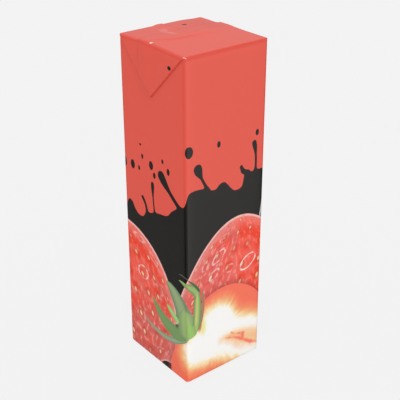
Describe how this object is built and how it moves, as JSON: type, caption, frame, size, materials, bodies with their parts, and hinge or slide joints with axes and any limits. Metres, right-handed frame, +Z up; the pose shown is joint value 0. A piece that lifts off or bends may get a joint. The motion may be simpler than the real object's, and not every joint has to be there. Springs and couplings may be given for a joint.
{
  "type": "juice carton",
  "caption": "Tall shut brick-shaped juice carton folded from printed board, with its top fin laid flat and its ears folded down the sides.",
  "frame": {"origin": "on the floor, under the middle of the carton", "axes": "+Z up along the carton's height, +X across its front face, +Y towards the back, where the long seam runs and towards which the top fin is laid"},
  "size_m": [0.0678, 0.0674, 0.2339],
  "materials": {
    "printed_board": "printed and film-coated, satin"
  },
  "bodies": {
    "root": {"carton": "printed_board"}
  },
  "joints": []
}
